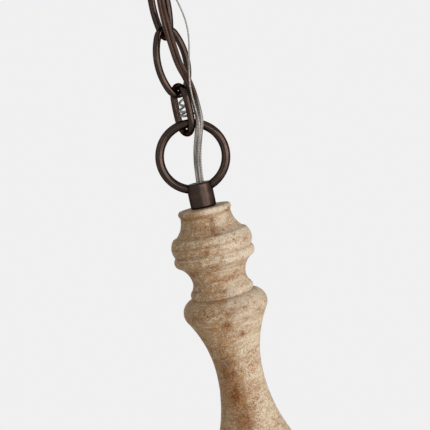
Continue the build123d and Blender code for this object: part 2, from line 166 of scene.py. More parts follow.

# Stains on the front of the column, and painted shade: across, below its top, half width and half height
# in millimetres, and strength
STAINS_AND_SHADE = [
    (0.0, 4.4, 16.0, 0.9, 0.70),
    (13.0, 3.2, 3.0, 1.2, 0.60),
    (-13.0, 2.2, 7.0, 1.8, 0.50),
    (2.8, 6.8, 2.2, 3.2, 0.85),
    (2.0, 13.0, 3.4, 3.0, 0.70),
    (-8.0, 11.0, 2.0, 5.0, 0.35),
    (0.0, 20.8, 24.0, 0.5, 0.70),
    (-13.0, 25.4, 9.0, 0.5, 0.85),
    (-5.0, 24.2, 3.2, 1.8, 0.85),
    (-1.0, 22.8, 7.0, 1.6, 0.36),
    (7.5, 21.6, 3.4, 1.2, 0.60),
    (20.0, 21.6, 2.4, 2.0, 0.75),
    (10.0, 29.2, 3.4, 0.8, 0.75),
    (-4.0, 31.6, 10.0, 1.8, 0.42),
    (2.0, 33.8, 9.0, 1.5, 0.36),
    (0.0, 36.2, 22.0, 0.6, 0.45),
    (6.5, 42.0, 5.0, 2.8, 0.70),
    (2.0, 51.6, 10.0, 2.6, 0.55),
    (9.5, 66.0, 3.0, 1.6, 0.55),
    (4.0, 61.0, 15.0, 5.0, 0.60),
    (17.0, 63.0, 5.0, 4.0, 0.45),
    (-18.0, 62.0, 5.0, 3.6, 0.45),
    (-1.5, 68.5, 2.6, 4.0, 0.75),
    (6.0, 76.0, 2.4, 2.0, 0.70),
    # Three marks down the neck: partly brown stain, partly painted shade where it turns from the window
    # lamp
    (-6.4, 98.0, 5.2, 10.0, 0.95),
    (-5.0, 112.0, 5.6, 9.0, 1.00),
    (-3.0, 127.0, 6.0, 9.0, 0.88),
]

# Pale lines, written in the same way: wash gathered in a groove, and painted highlights where a lip's
# edge catches the light
CHALK_AND_GLINT_LINES = [
    (-14.0, 27.4, 11.0, 0.5, 0.90),
    (9.0, 30.6, 5.0, 1.2, 0.35),
    (9.0, 1.4, 5.0, 0.8, 0.50),
    (11.0, 22.6, 7.0, 1.6, 0.60),
    (-1.0, 53.0, 18.0, 0.5, 0.95),
    (10.0, 51.4, 7.0, 0.5, 0.60),
]

# Nearly even finishes: the group and the property that hold the colour, metallic, smoothest and dullest
# roughness, patches in a metre, about, and relief in millimetres
PLAIN_FINISHES = {
    "zinc_plate": ("chandelier_metal", "steel", 1.0, 0.50, 0.64, 140.0, 0.01),
    "rolled_brass": ("chandelier_metal", "brass", 1.0, 0.22, 0.38, 160.0, 0.02),
    "ivory_card": ("chandelier_metal", "ivory", 0.0, 0.50, 0.68, 60.0, 0.05),
    "moulded_resin": ("chandelier_metal", "resin", 0.0, 0.42, 0.58, 110.0, 0.04),
    "tinned_wire": ("chandelier_leads", "strand", 0.75, 0.24, 0.42, 400.0, 0.02),
}

# Lamps: name, place, width and height in metres, and the property that holds the power
LAMPS = [
    ("window", (1.00, -0.84, -0.22), 0.58, 0.95, "key_power"),
    ("curtain_gap", (0.34, -1.25, -0.22), 0.44, 0.60, "gap_power"),
    ("window_sill", (0.62, -0.56, -0.70), 0.45, 0.45, "sill_power"),
    ("fill", (-1.3, -1.2, 0.5), 1.2, 1.2, "fill_power"),
    ("far_wall", (-0.5, 1.7, -0.1), 1.6, 1.6, "back_power"),
]


def tone(red, green, blue):
    """A colour written as 8-bit screen values, in the linear values that shaders take."""
    def linear(value):
        share = value / 255
        return share / 12.92 if share <= 0.04045 else ((share + 0.055) / 1.055) ** 2.4
    return (linear(red), linear(green), linear(blue), 1.0)


def colour(name, description, red, green, blue):
    """A colour property with its default as 8-bit screen values."""
    shade = tone(red, green, blue)
    return bpy.props.FloatVectorProperty(
        name=name, description=description, subtype="COLOR", size=4, min=0, max=1, default=shade
    )


def length(name, description, millimetres):
    """A length property with its default in millimetres."""
    return bpy.props.FloatProperty(
        name=name, description=description, unit="LENGTH", min=0, default=millimetres * MM, precision=5
    )


def power(name, description, watts):
    """A lamp's power, in watts."""
    return bpy.props.FloatProperty(name=name, description=description, unit="POWER", min=0, default=watts)


class ChandelierWood(bpy.types.PropertyGroup):
    """Colours and fineness of the turned wood."""

    tan: colour("Tan", "Body colour of the washed wood", 176, 145, 108)
    wash: colour("Wash", "Pale rubbed-in wash", 216, 203, 182)
    # Also the colour of the painted shade down the neck
    stain: colour("Stain", "Brown smudges", 118, 67, 28)
    rust: colour("Rust", "Red-brown pits and specks", 150, 96, 56)
    groove: colour("Groove", "Brown glaze left in the grooves", 128, 92, 60)
    wobble: length("Wobble", "Unevenness of the turned surface", 0.16)
    step: length("Step", "Distance between rings of the turned mesh", 0.6)
    sides: bpy.props.IntProperty(
        name="Sides", description="Facets round a turned piece", min=24, default=224
    )


class ChandelierMetal(bpy.types.PropertyGroup):
    """Colours of the metal and moulded parts."""

    bronze: colour("Bronze", "Dark bronze lacquer", 57, 47, 43)
    rubbed: colour("Rubbed", "Browner bronze where hands rub it", 78, 60, 51)
    steel: colour("Steel", "Zinc plate", 166, 166, 163)
    brass: colour("Brass", "Screw shells of the lamp sockets", 196, 164, 96)
    ivory: colour("Ivory", "Candle sleeves", 229, 218, 192)
    resin: colour("Resin", "Moulded lamp sockets", 46, 42, 40)


class ChandelierLeads(bpy.types.PropertyGroup):
    """Sizes and colours of the two leads."""

    cord_width: length("Cord width", "Width of the flat twin lead", 4.8)
    core_radius: length("Core radius", "Radius of each of its two cores", 1.28)
    earth_width: length("Earth width", "Diameter of the bare twisted strand", 1.0)
    strand_radius: length("Strand radius", "Radius of one wire of the strand", 0.20)
    strand_lay: length("Strand lay", "Length of one turn of the strand", 9.0)
    strands: bpy.props.IntProperty(name="Strands", description="Wires in the strand", min=2, default=6)
    jacket_high: colour("Upper jacket", "Clear jacket over copper, beside the chain", 88, 61, 48)
    jacket_low: colour("Lower jacket", "Clear jacket over tinned wire, in the ring", 182, 174, 168)
    strand: colour("Strand", "Tinned wire", 150, 146, 140)


class ChandelierStage(bpy.types.PropertyGroup):
    """Camera, light and backdrop."""

    eye: bpy.props.FloatVectorProperty(
        name="Eye", description="Camera place", subtype="TRANSLATION",
        default=(0.0, -0.594, COLUMN_TOP + 0.0578),
    )
    aim: bpy.props.FloatVectorProperty(
        name="Aim", description="Point at the middle of the frame", subtype="TRANSLATION",
        default=(0.0055, 0.0, COLUMN_TOP - 0.0060),
    )
    roll: bpy.props.FloatProperty(
        name="Roll", description="Turn of the camera about its own axis", subtype="ANGLE",
        default=radians(12.25),
    )
    lens: bpy.props.FloatProperty(name="Lens", description="Focal length", unit="CAMERA", default=83.7)
    backdrop: colour("Backdrop", "Wall and floor as the camera sees them", 240, 240, 240)
    ambient: bpy.props.FloatProperty(
        name="Ambient", description="Even light from all sides", min=0, default=0.34
    )
    key_power: power("Key power", "Window light from the right", 8.8)
    gap_power: power("Gap power", "Strip of light from the front", 3.8)
    sill_power: power("Sill power", "Light thrown up from below the window", 1.6)
    fill_power: power("Fill power", "Weak light from the upper left", 2.0)
    back_power: power("Back power", "Light from the wall behind", 9.0)


class Wiring:
    """Adds nodes to a tree and joins them, so that a tree reads from its inputs to its output."""

    def __init__(self, tree):
        self.tree = tree

    def feed(self, socket, value):
        if isinstance(value, bpy.types.NodeSocket):
            self.tree.links.new(value, socket)
        else:
            socket.default_value = value

    def add(self, kind, inputs=None, **settings):
        node = self.tree.nodes.new(kind)
        for key, value in settings.items():
            setattr(node, key, value)
        for key, value in (inputs or {}).items():
            self.feed(node.inputs[key], value)
        return node

    def made(self, kind, inputs=None, output=0, **settings):
        """One output of a new node."""
        return self.add(kind, inputs, **settings).outputs[output]

    def maths(self, operation, first, second=0.0, clamp=False):
        inputs = {0: first, 1: second}
        return self.made("ShaderNodeMath", inputs, operation=operation, use_clamp=clamp)

    def times(self, first, second, clamp=False):
        return self.maths("MULTIPLY", first, second, clamp)

    def mix(self, factor, first, second):
        return self.made("ShaderNodeMix", {0: factor, 6: first, 7: second}, 2, data_type="RGBA")

    def vector(self, operation, first, second=(0.0, 0.0, 0.0), output=0):
        return self.made("ShaderNodeVectorMath", {0: first, 1: second}, output, operation=operation)

    def scaled(self, first, amount):
        return self.made("ShaderNodeVectorMath", {0: first, 3: amount}, operation="SCALE")

    def attribute(self, name):
        return self.made("ShaderNodeAttribute", output="Fac", attribute_name=name)

    def noise(self, place, scale, detail, rough):
        inputs = {"Vector": place, "Scale": scale, "Detail": detail, "Roughness": rough}
        return self.made("ShaderNodeTexNoise", inputs, "Fac")

    def ramp(self, value, low, high, start=0.0, end=1.0):
        inputs = {"Value": value, "From Min": low, "From Max": high, "To Min": start, "To Max": end}
        return self.made("ShaderNodeMapRange", inputs, interpolation_type="SMOOTHSTEP")

    def between(self, share, start, end):
        return self.ramp(share, 0.0, 1.0, start, end)

    def mask(self, group, **inputs):
        return self.made("ShaderNodeGroup", inputs, "Mask", node_tree=group)

    def circle(self, radius, sides):
        return self.made("GeometryNodeCurvePrimitiveCircle", {"Resolution": sides, "Radius": radius})


def new_tree(name, kind, inputs, outputs):
    """An empty node tree with sockets of these kinds: its wiring, what it is given and what it gives."""
    tree = bpy.data.node_groups.new(name, kind)
    for in_out, sockets in (("INPUT", inputs), ("OUTPUT", outputs)):
        for socket, data in sockets.items():
            tree.interface.new_socket(socket, in_out=in_out, socket_type="NodeSocket" + data)
    wiring = Wiring(tree)
    return wiring, wiring.add("NodeGroupInput").outputs, wiring.add("NodeGroupOutput").inputs


def mask_group(name, *numbers):
    """An empty shader group that makes a mask from a place and these numbers."""
    inputs = {"Place": "Vector"} | dict.fromkeys(numbers, "Float")
    return new_tree(name, "ShaderNodeTree", inputs, {"Mask": "Float"})


def patches_group():
    """Soft uneven patches, as a wash or a rubbed finish leaves them."""
    if "Patches" in bpy.data.node_groups:
        return bpy.data.node_groups["Patches"]
    wiring, given, result = mask_group("Patches", "Scale", "Low", "High")
    broad = wiring.noise(given["Place"], given["Scale"], 5.0, 0.62)
    wiring.feed(result["Mask"], wiring.ramp(broad, given["Low"], given["High"]))
    return wiring.tree


def specks_group():
    """Small specks that gather in clusters."""
    if "Specks" in bpy.data.node_groups:
        return bpy.data.node_groups["Specks"]
    wiring, given, result = mask_group("Specks", "Fineness", "Cluster", "Amount")
    grain = wiring.noise(given["Place"], given["Fineness"], 2.0, 0.55)
    cluster = wiring.noise(given["Place"], given["Cluster"], 3.0, 0.6)
    reach = wiring.times(wiring.ramp(cluster, 0.40, 0.68), given["Amount"])
    edge = wiring.maths("SUBTRACT", 0.72, wiring.times(reach, 0.22))
    over = wiring.maths("SUBTRACT", grain, edge)
    wiring.feed(result["Mask"], wiring.ramp(over, 0.0, 0.06))
    return wiring.tree


def new_material(name):
    """A new material, with its wiring, its Principled surface and the object's coordinates."""
    material = bpy.data.materials.new(name)
    material.use_nodes = True
    wiring = Wiring(material.node_tree)
    surface = material.node_tree.nodes["Principled BSDF"]
    place = wiring.made("ShaderNodeTexCoord", output="Object")
    return material, wiring, surface, place


def bump(wiring, surface, height, distance, strength):
    """Relief on a surface."""
    inputs = {"Height": height, "Distance": distance, "Strength": strength}
    wiring.feed(surface.inputs["Normal"], wiring.made("ShaderNodeBump", inputs, "Normal"))


def washed_wood():
    """Turned wood under a rubbed, speckled wash, with groove glaze, pale worn edges, painted light and
    shade.
    """
    if "washed_wood" in bpy.data.materials:
        return bpy.data.materials["washed_wood"]
    shades = bpy.context.scene.chandelier_wood
    material, wiring, surface, place = new_material("washed_wood")
    washed = wiring.attribute("washed")
    smeared = wiring.vector("MULTIPLY", place, (1.0, 1.0, 1.9))
    around = wiring.vector("MULTIPLY", place, (1.0, 1.0, 9.0))
    grit = wiring.ramp(wiring.noise(place, 820.0, 4.0, 0.75), 0.36, 0.60)
    # More wash on the side that faces the window lamp: partly real wash, partly painted light
    blotch = wiring.maths("ADD", wiring.noise(smeared, 230.0, 6.0, 0.74), wiring.times(washed, 0.15))
    wash = wiring.ramp(blotch, 0.46, 0.70)
    rubbed_in = wiring.times(wash, wiring.between(grit, 0.50, 0.95))
    body = wiring.mix(rubbed_in, shades.tan, shades.wash)
    streak = wiring.mask(patches_group(), Place=around, Scale=36.0, Low=0.46, High=0.68)
    body = wiring.mix(wiring.times(streak, 0.30), body, shades.rust)
    smear = wiring.noise(wiring.vector("ADD", smeared, (3.1, 1.7, 0.4)), 150.0, 7.0, 0.80)
    patchy = wiring.times(wiring.ramp(smear, 0.51, 0.68), wiring.between(grit, 0.95, 0.20))
    worn_through = wiring.times(patchy, wiring.between(washed, 1.0, 0.40))
    body = wiring.mix(worn_through, body, shades.rust)
    torn = wiring.ramp(wiring.noise(place, 950.0, 5.0, 0.75), 0.36, 0.58, 0.32, 1.0)
    # The stain marks include painted shade down the neck, where it turns away from the window lamp
    stained_and_shaded = wiring.times(wiring.times(wiring.attribute("stain"), 1.35), torn, clamp=True)
    body = wiring.mix(stained_and_shaded, body, shades.stain)
    glaze = wiring.times(wiring.attribute("groove"), wiring.between(streak, 0.15, 0.50))
    body = wiring.mix(glaze, body, shades.groove)
    worn = wiring.times(wiring.attribute("crest"), wiring.between(wash, 0.08, 0.45))
    body = wiring.mix(worn, body, shades.wash)
    # Pale lines: wash gathered in grooves, and painted highlights where a lip's edge catches the light
    gathered_and_glint = wiring.times(wiring.attribute("chalk"), wiring.between(grit, 0.45, 1.0), clamp=True)
    body = wiring.mix(gathered_and_glint, body, shades.wash)
    specks = wiring.mask(specks_group(), Place=place, Fineness=1250.0, Cluster=46.0, Amount=1.0)
    pits = wiring.mask(specks_group(), Place=place, Fineness=900.0, Cluster=100.0, Amount=0.9)
    body = wiring.mix(wiring.times(specks, 0.75), body, shades.rust)
    body = wiring.mix(wiring.times(pits, 0.65), body, shades.stain)
    grain = wiring.noise(place, 1300.0, 3.0, 0.7)
    # Grain darkens more on the side turned from the window lamp and less on the lit side: painted shade
    # and light
    darkest = wiring.between(washed, 0.50, 0.74)
    palest = wiring.between(washed, 1.42, 1.20)
    mottled = wiring.scaled(body, wiring.ramp(grain, 0.25, 0.75, darkest, palest))
    wiring.feed(surface.inputs["Base Color"], mottled)
    wiring.feed(surface.inputs["Roughness"], wiring.between(wash, 0.70, 0.90))
    surface.inputs["Specular IOR Level"].default_value = 0.10
    sunk = wiring.times(wiring.maths("ADD", specks, pits), 0.55)
    hollow = wiring.maths("SUBTRACT", wiring.times(grain, 0.45), sunk)
    bump(wiring, surface, hollow, 0.12 * MM, 0.8)
    return material


def bronze_lacquer(name, metallic, smoothest, dullest):
    """Dark lacquer, browner where it is rubbed, with a faint orange-peel surface."""
    if name in bpy.data.materials:
        return bpy.data.materials[name]
    shades = bpy.context.scene.chandelier_metal
    material, wiring, surface, place = new_material(name)
    rubbed = wiring.mask(patches_group(), Place=place, Scale=120.0, Low=0.46, High=0.70)
    body = wiring.mix(wiring.times(rubbed, 0.55), shades.bronze, shades.rubbed)
    dust = wiring.mask(specks_group(), Place=place, Fineness=1500.0, Cluster=140.0, Amount=0.9)
    body = wiring.mix(wiring.times(dust, 0.5), body, shades.rubbed)
    wiring.feed(surface.inputs["Base Color"], body)
    surface.inputs["Metallic"].default_value = metallic
    surface.inputs["Specular IOR Level"].default_value = 0.2
    surface.inputs["Specular Tint"].default_value = (0.25, 0.24, 0.23, 1.0)
    peel = wiring.noise(place, 900.0, 2.0, 0.5)
    wiring.feed(surface.inputs["Roughness"], wiring.ramp(peel, 0.2, 0.8, smoothest, dullest))
    bump(wiring, surface, wiring.maths("ADD", peel, wiring.times(dust, 0.6)), 0.05 * MM, 0.5)
    return material


def bent_bronze():
    """Smooth lacquer on drawn and bent wire."""
    return bronze_lacquer("bent_bronze", metallic=1.0, smoothest=0.12, dullest=0.20)


def satin_bronze():
    """Duller lacquer on turned and pressed metal."""
    return bronze_lacquer("satin_bronze", metallic=0.9, smoothest=0.31, dullest=0.42)


def plain_finish(name):
    """A nearly even finish, with soft patches in its colour and roughness and a little relief."""
    if name in bpy.data.materials:
        return bpy.data.materials[name]
    group, colour_name, metallic, smoothest, dullest, patches, relief = PLAIN_FINISHES[name]
    shade = getattr(getattr(bpy.context.scene, group), colour_name)
    material, wiring, surface, place = new_material(name)
    patch = wiring.mask(patches_group(), Place=place, Scale=patches, Low=0.30, High=0.70)
    deep = tuple(0.78 * channel for channel in shade[:3]) + (1.0,)
    wiring.feed(surface.inputs["Base Color"], wiring.mix(patch, shade, deep))
    surface.inputs["Metallic"].default_value = metallic
    wiring.feed(surface.inputs["Roughness"], wiring.between(patch, smoothest, dullest))
    bump(wiring, surface, wiring.noise(place, 12.0 * patches, 3.0, 0.6), relief * MM, 0.6)
    return material


def clear_jacket():
    """Clear cord jacket with strands showing through: browner beside the chain, grey in the ring."""
    shades = bpy.context.scene.chandelier_leads
    material, wiring, surface, _ = new_material("clear_jacket")
    chart = wiring.made("ShaderNodeUVMap", output="UV", uv_map="lead")
    body = wiring.mix(wiring.attribute("drop"), shades.jacket_high, shades.jacket_low)
    slant = {"Vector": chart, "Rotation": (0.0, 0.0, 0.20), "Scale": (13.0, 48.0, 1.0)}
    streak = wiring.noise(wiring.made("ShaderNodeMapping", slant), 1.0, 2.0, 0.6)
    turns = wiring.vector("DOT_PRODUCT", chart, (2.0 * tau, tau / (1.7 * MM), 0.0), "Value")
    lay = wiring.ramp(wiring.maths("SINE", turns), -1.0, 1.0, -0.03, 0.03)
    strand = wiring.maths("ADD", streak, lay)
    body = wiring.mix(wiring.ramp(strand, 0.40, 0.62), wiring.scaled(body, 0.24), body)
    wiring.feed(surface.inputs["Base Color"], body)
    surface.inputs["Roughness"].default_value = 0.32
    surface.inputs["Specular IOR Level"].default_value = 0.16
    bump(wiring, surface, strand, 0.12 * MM, 0.5)
    return material


def finish(nodes, material):
    """Give CAD nodes their finish."""
    for name in nodes:
        for slot in frame["nodes"][name].material_slots:
            slot.material = material


def each_arm(stem):
    """The six nodes of one kind, one for each arm."""
    return [f"{stem}_{number}" for number in ARM_NUMBERS]


def mesh_piece(name, points, faces, material, smooth=True):
    """A mesh object at the origin, with its place in its points."""
    mesh = bpy.data.meshes.new(name)
    mesh.from_pydata(points, [], faces)
    mesh.materials.append(material)
    if smooth:
        mesh.shade_smooth()
    piece = bpy.data.objects.new(name, mesh)
    bpy.context.scene.collection.objects.link(piece)
    return piece


def evaluated_mesh(piece):
    """What an object's modifiers or curve make of it, as a plain mesh."""
    graph = bpy.context.evaluated_depsgraph_get()
    return bpy.data.meshes.new_from_object(piece.evaluated_get(graph), depsgraph=graph)


def node_tree_piece(name, seed_points, seed_edges, tree, values):
    """A mesh piece that a geometry tree grows from some points and edges."""
    mesh = bpy.data.meshes.new(name)
    mesh.from_pydata(seed_points, seed_edges, [])
    piece = bpy.data.objects.new(name, mesh)
    bpy.context.scene.collection.objects.link(piece)
    modifier = piece.modifiers.new("grow", "NODES")
    modifier.node_group = tree
    for socket in tree.interface.items_tree:
        if socket.in_out == "INPUT" and socket.name in values:
            modifier[socket.identifier] = values[socket.name]
    grown = evaluated_mesh(piece)
    piece.modifiers.remove(modifier)
    piece.data = grown
    bpy.data.meshes.remove(mesh)
    grown.name = name
    return piece


def geometry_tree(name, **inputs):
    """An empty geometry tree that takes a geometry and inputs of these kinds."""
    geometry = {"Geometry": "Geometry"}
    return new_tree(name, "GeometryNodeTree", geometry | inputs, geometry)


def settle_tree(wiring, result, geometry, material):
    """End a geometry tree with real, painted geometry."""
    real = wiring.made("GeometryNodeRealizeInstances", {"Geometry": geometry})
    painted = wiring.made("GeometryNodeSetMaterial", {"Geometry": real, "Material": material})
    wiring.feed(result["Geometry"], painted)
    return wiring.tree


def ridges_tree():
    """A stack of thread ridges that goes down from each point."""
    if "Thread Ridges" in bpy.data.node_groups:
        return bpy.data.node_groups["Thread Ridges"]
    wiring, given, result = geometry_tree(
        "Thread Ridges", Count="Int", Pitch="Float", Radius="Float", Ridge="Float", Material="Material"
    )
    down = wiring.made("ShaderNodeCombineXYZ", {"Z": wiring.times(given["Pitch"], -1.0)})
    stack = wiring.made("GeometryNodeMeshLine", {"Count": given["Count"], "Offset": down})
    ring = wiring.circle(given["Radius"], sides=40)
    section = wiring.circle(given["Ridge"], sides=6)
    ridge = wiring.made("GeometryNodeCurveToMesh", {"Curve": ring, "Profile Curve": section})
    column = wiring.made("GeometryNodeInstanceOnPoints", {"Points": stack, "Instance": ridge})
    stands = {"Points": given["Geometry"], "Instance": column}
    columns = wiring.made("GeometryNodeInstanceOnPoints", stands)
    return settle_tree(wiring, result, columns, given["Material"])


def strands_tree():
    """Wires twisted round each other along a line. Their turn carries on from one length to the next."""
    if "Twisted Strands" in bpy.data.node_groups:
        return bpy.data.node_groups["Twisted Strands"]
    wiring, given, result = geometry_tree(
        "Twisted Strands",
        Strands="Int", Lay="Float", Start="Float", Spread="Float", Radius="Float", Material="Material",
    )
    line = wiring.made("GeometryNodeMeshToCurve", {"Mesh": given["Geometry"]})
    wires = {"Geometry": line, "Amount": given["Strands"]}
    copies = wiring.add("GeometryNodeDuplicateElements", wires, domain="SPLINE").outputs
    run = wiring.maths("ADD", wiring.made("GeometryNodeSplineParameter", output="Length"), given["Start"])
    share = wiring.maths("DIVIDE", copies["Duplicate Index"], given["Strands"])
    turn = wiring.times(wiring.maths("ADD", wiring.maths("DIVIDE", run, given["Lay"]), share), tau)
    tangent = wiring.made("GeometryNodeInputTangent")
    side = wiring.vector("NORMALIZE", wiring.vector("CROSS_PRODUCT", tangent, (0.0, 1.0, 0.0)))
    front = wiring.vector("CROSS_PRODUCT", tangent, side)
    sideways = wiring.scaled(side, wiring.maths("COSINE", turn))
    forward = wiring.scaled(front, wiring.maths("SINE", turn))
    offset = wiring.scaled(wiring.vector("ADD", sideways, forward), given["Spread"])
    moved = wiring.made("GeometryNodeSetPosition", {"Geometry": copies[0], "Offset": offset})
    section = wiring.circle(given["Radius"], sides=7)
    wire = {"Curve": moved, "Profile Curve": section, "Fill Caps": True}
    tubes = wiring.made("GeometryNodeCurveToMesh", wire)
    return settle_tree(wiring, result, tubes, given["Material"])


def thinned(outline, gap):
    """The outline without points that lie closer than a gap to the one before."""
    kept = [outline[0]]
    for point in outline[1:-1]:
        if hypot(point[0] - kept[-1][0], point[1] - kept[-1][1]) >= gap:
            kept.append(point)
    return kept + [outline[-1]]


def turned_outline(node):
    """Outline of a turned node from its top edge down, as radii and heights, and its bore's radius."""
    corners = np.array([tuple(vertex.co) for vertex in frame["nodes"][node].data.vertices])
    radii = np.hypot(corners[:, 0], corners[:, 1])
    bore = float(radii.min())
    clear_of_bore = bore + 0.5 * MM
    found = {}
    for radius, height in zip(radii, corners[:, 2]):
        if radius > clear_of_bore:
            found.setdefault(round(float(height), 5), []).append(float(radius))
    outline = [(sum(ring) / len(ring), height) for height, ring in found.items()]
    outline.sort(key=lambda point: -point[1])
    return thinned(outline, gap=0.3 * MM), bore


def smooth_run(points, step):
    """Points about a step apart on a smooth curve through a run of outline points."""
    run = np.array(points)
    ends = np.vstack([2 * run[0] - run[1], run, 2 * run[-1] - run[-2]])
    made = []
    for before, here, there, after in zip(ends, ends[1:], ends[2:], ends[3:]):
        count = max(1, round(float(np.linalg.norm(there - here)) / step))
        for index in range(count):
            t = index / count
            bend = (2 * before - 5 * here + 4 * there - after) * t * t
            twist = (3 * here - before - 3 * there + after) * t ** 3
            made.append((2 * here + (there - before) * t + bend + twist) / 2)
    return made


def smooth_outline(points, step):
    """The outline with fine steps: smooth along its curves, sharp at its corners."""
    runs = [[points[0]]]
    for before, here, after in zip(points, points[1:], points[2:]):
        runs[-1].append(here)
        way_in = Vector((here[0] - before[0], here[1] - before[1]))
        way_out = Vector((after[0] - here[0], after[1] - here[1]))
        if way_in.angle(way_out) > CORNER:
            runs.append([here])
    runs[-1].append(points[-1])
    made = [tuple(point) for run in runs for point in smooth_run(run, step)]
    return made + [points[-1]]


def edge_masks(outline, reach):
    """For each outline point, how far it stands out as a crest, and how far it lies back as a groove."""
    run = np.array(outline)
    travel = np.concatenate([[0], np.cumsum(np.linalg.norm(np.diff(run, axis=0), axis=1))])
    def at(distance):
        clipped = np.clip(distance, 0, travel[-1])
        return np.column_stack([np.interp(clipped, travel, values) for values in run.T])
    ahead = at(travel + reach)
    behind = at(travel - reach)
    middle = (ahead + behind) / 2 - run
    way = ahead - behind
    outward = np.column_stack([-way[:, 1], way[:, 0]]) / np.linalg.norm(way, axis=1)[:, None]
    rise = -(middle * outward).sum(axis=1)
    full_crest, full_groove = 0.16 * reach, 0.20 * reach
    crest = np.clip(rise / full_crest, 0, 1)
    groove = np.clip(-rise / full_groove, 0, 1)
    return crest, groove


def strength_at(marks, place):
    """Strength of the front's marks, such as brown stains and painted shade, at a point of the column."""
    if place.y > 0:
        return 0.0
    most = 0.0
    for across, below, wide, high, strength in marks:
        off_x = (place.x / MM - across) / wide
        off_z = ((COLUMN_TOP - place.z) / MM - below) / high
        most = max(most, strength * exp(-off_x * off_x - off_z * off_z))
    uneven = 0.75 + 0.5 * noise.noise(place * 260)
    return most * uneven


def wash_and_light_at(angle, place):
    """Wash and painted light at a point: most on the window lamp's side, unevenly, and in patches behind.
    """
    uneven = 0.35 * noise.noise(place * 45)
    turn = (angle + WASHED_LIT_SIDE + uneven + pi) % tau - pi
    share = (FRONT_REACH + turn) / FRONT_FADE if turn < 0 else (BACK_REACH - turn) / BACK_FADE
    behind = min(1.0, max(0.0, place.y / (8 * MM)))
    patch = behind * (0.45 + 0.9 * noise.noise(place * 24))
    share = min(1.0, max(0.0, share, patch))
    return share * share * (3 - 2 * share)


def unevenness(place):
    """Swells and small dents that the lathe left at a point, as a share of the wobble."""
    swell = noise.noise(place * SWELLS) + 0.5 * noise.noise(place * RIPPLES)
    dent = max(0.0, noise.noise(place * DENTS + Vector((7.0, 3.0, 1.0))) - 0.42)
    return 0.6 * swell - 2.4 * dent


def turned_piece(node):
    """A turned node on a fine mesh, with the lathe's small unevenness and marks for wear, glaze and
    painted light.
    """
    sizes = bpy.context.scene.chandelier_wood
    outline, bore = turned_outline(node)
    fine = smooth_outline(outline, sizes.step)
    crest, groove = edge_masks(fine, reach=1.6 * MM)
    count = sizes.sides
    points = []
    mark_names = ("crest", "groove", "stain", "chalk", "washed")
    marks = []
    for (radius, height), high, low in zip(fine, crest, groove):
        for index in range(count):
            angle = tau * index / count
            way = Vector((cos(angle), sin(angle), 0.0))
            place = way * radius + Vector((0.0, 0.0, height))
            points.append(place + way * (sizes.wobble * unevenness(place)))
            # Stain marks include painted shade, pale lines include painted highlights, and the wash share
            # is partly painted light
            stain = strength_at(STAINS_AND_SHADE, place)
            chalk = strength_at(CHALK_AND_GLINT_LINES, place)
            marks.append((high, low, stain, chalk, wash_and_light_at(angle, place)))
    for height in (outline[-1][1], outline[0][1]):
        for index in range(count):
            angle = tau * index / count
            points.append(Vector((bore * cos(angle), bore * sin(angle), height)))
            marks.append((0.0,) * len(mark_names))
    rings = len(fine) + 2
    faces = []
    for ring in range(rings):
        here, below = ring * count, (ring + 1) % rings * count
        for index in range(count):
            beside = (index + 1) % count
            faces.append((here + index, below + index, below + beside, here + beside))
    piece = mesh_piece(node + "_turned", points, faces, washed_wood())
    for name, values in zip(mark_names, zip(*marks)):
        piece.data.attributes.new(name, "FLOAT", "POINT").data.foreach_set("value", values)
    piece.data.set_sharp_from_angle(angle=radians(40))
    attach(piece, "light")
    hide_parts(node)
    return piece


def route_line(route):
    """Points along the smooth line that a route's points draw."""
    curve = bpy.data.curves.new("route", "CURVE")
    curve.dimensions = "3D"
    curve.resolution_u = 14
    spline = curve.splines.new("NURBS")
    spline.points.add(len(route) - 1)
    for point, place in zip(spline.points, route):
        point.co = (*(value * MM for value in place), 1.0)
    spline.order_u = 3
    spline.use_endpoint_u = True
    holder = bpy.data.objects.new("route", curve)
    bpy.context.scene.collection.objects.link(holder)
    mesh = evaluated_mesh(holder)
    line = [vertex.co.copy() for vertex in mesh.vertices]
    bpy.data.objects.remove(holder)
    bpy.data.curves.remove(curve)
    bpy.data.meshes.remove(mesh)
    return line


def part_line(line, heights):
    """The line in lengths that meet at these heights."""
    lengths = [[line[0]]]
    waiting = list(heights)
    for before, here in zip(line, line[1:]):
        if waiting and here.z <= waiting[0]:
            share = (before.z - waiting.pop(0)) / (before.z - here.z)
            meeting = before.lerp(here, share)
            lengths[-1].append(meeting)
            lengths.append([meeting])
        lengths[-1].append(here)
    return lengths


def run_of(line):
    """Length of a line of points."""
    return sum((there - here).length for here, there in zip(line, line[1:]))


def tangents(line):
    """Direction of a line at each of its points."""
    ahead = line[1:] + line[-1:]
    behind = line[:1] + line[:-1]
    return [(there - here).normalized() for here, there in zip(behind, ahead)]


def lead_lengths(route):
    """The lengths of a lead, one across each joint: number, points and how far along it starts."""
    start = 0.0
    found = []
    for index, points in enumerate(part_line(route_line(route), LEAD_CUTS)):
        found.append((index, points, start))
        start += run_of(points)
    return found


def settle_lead(piece, node):
    """Bake one length of a lead into its place, and hide the CAD node that it stands in for."""
    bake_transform(piece)
    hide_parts(node)


def lead_sides(way, run):
    """The directions across a flat lead and out of its flat side, which rolls a little along the lead."""
    roll = LEAD_ROLL * sin(tau * run / ROLL_LENGTH)
    flat = Vector((1.0, 0.0, 0.0)) - way * way.x
    across = Matrix.Rotation(roll, 3, way) @ flat.normalized()
    return across, way.cross(across)


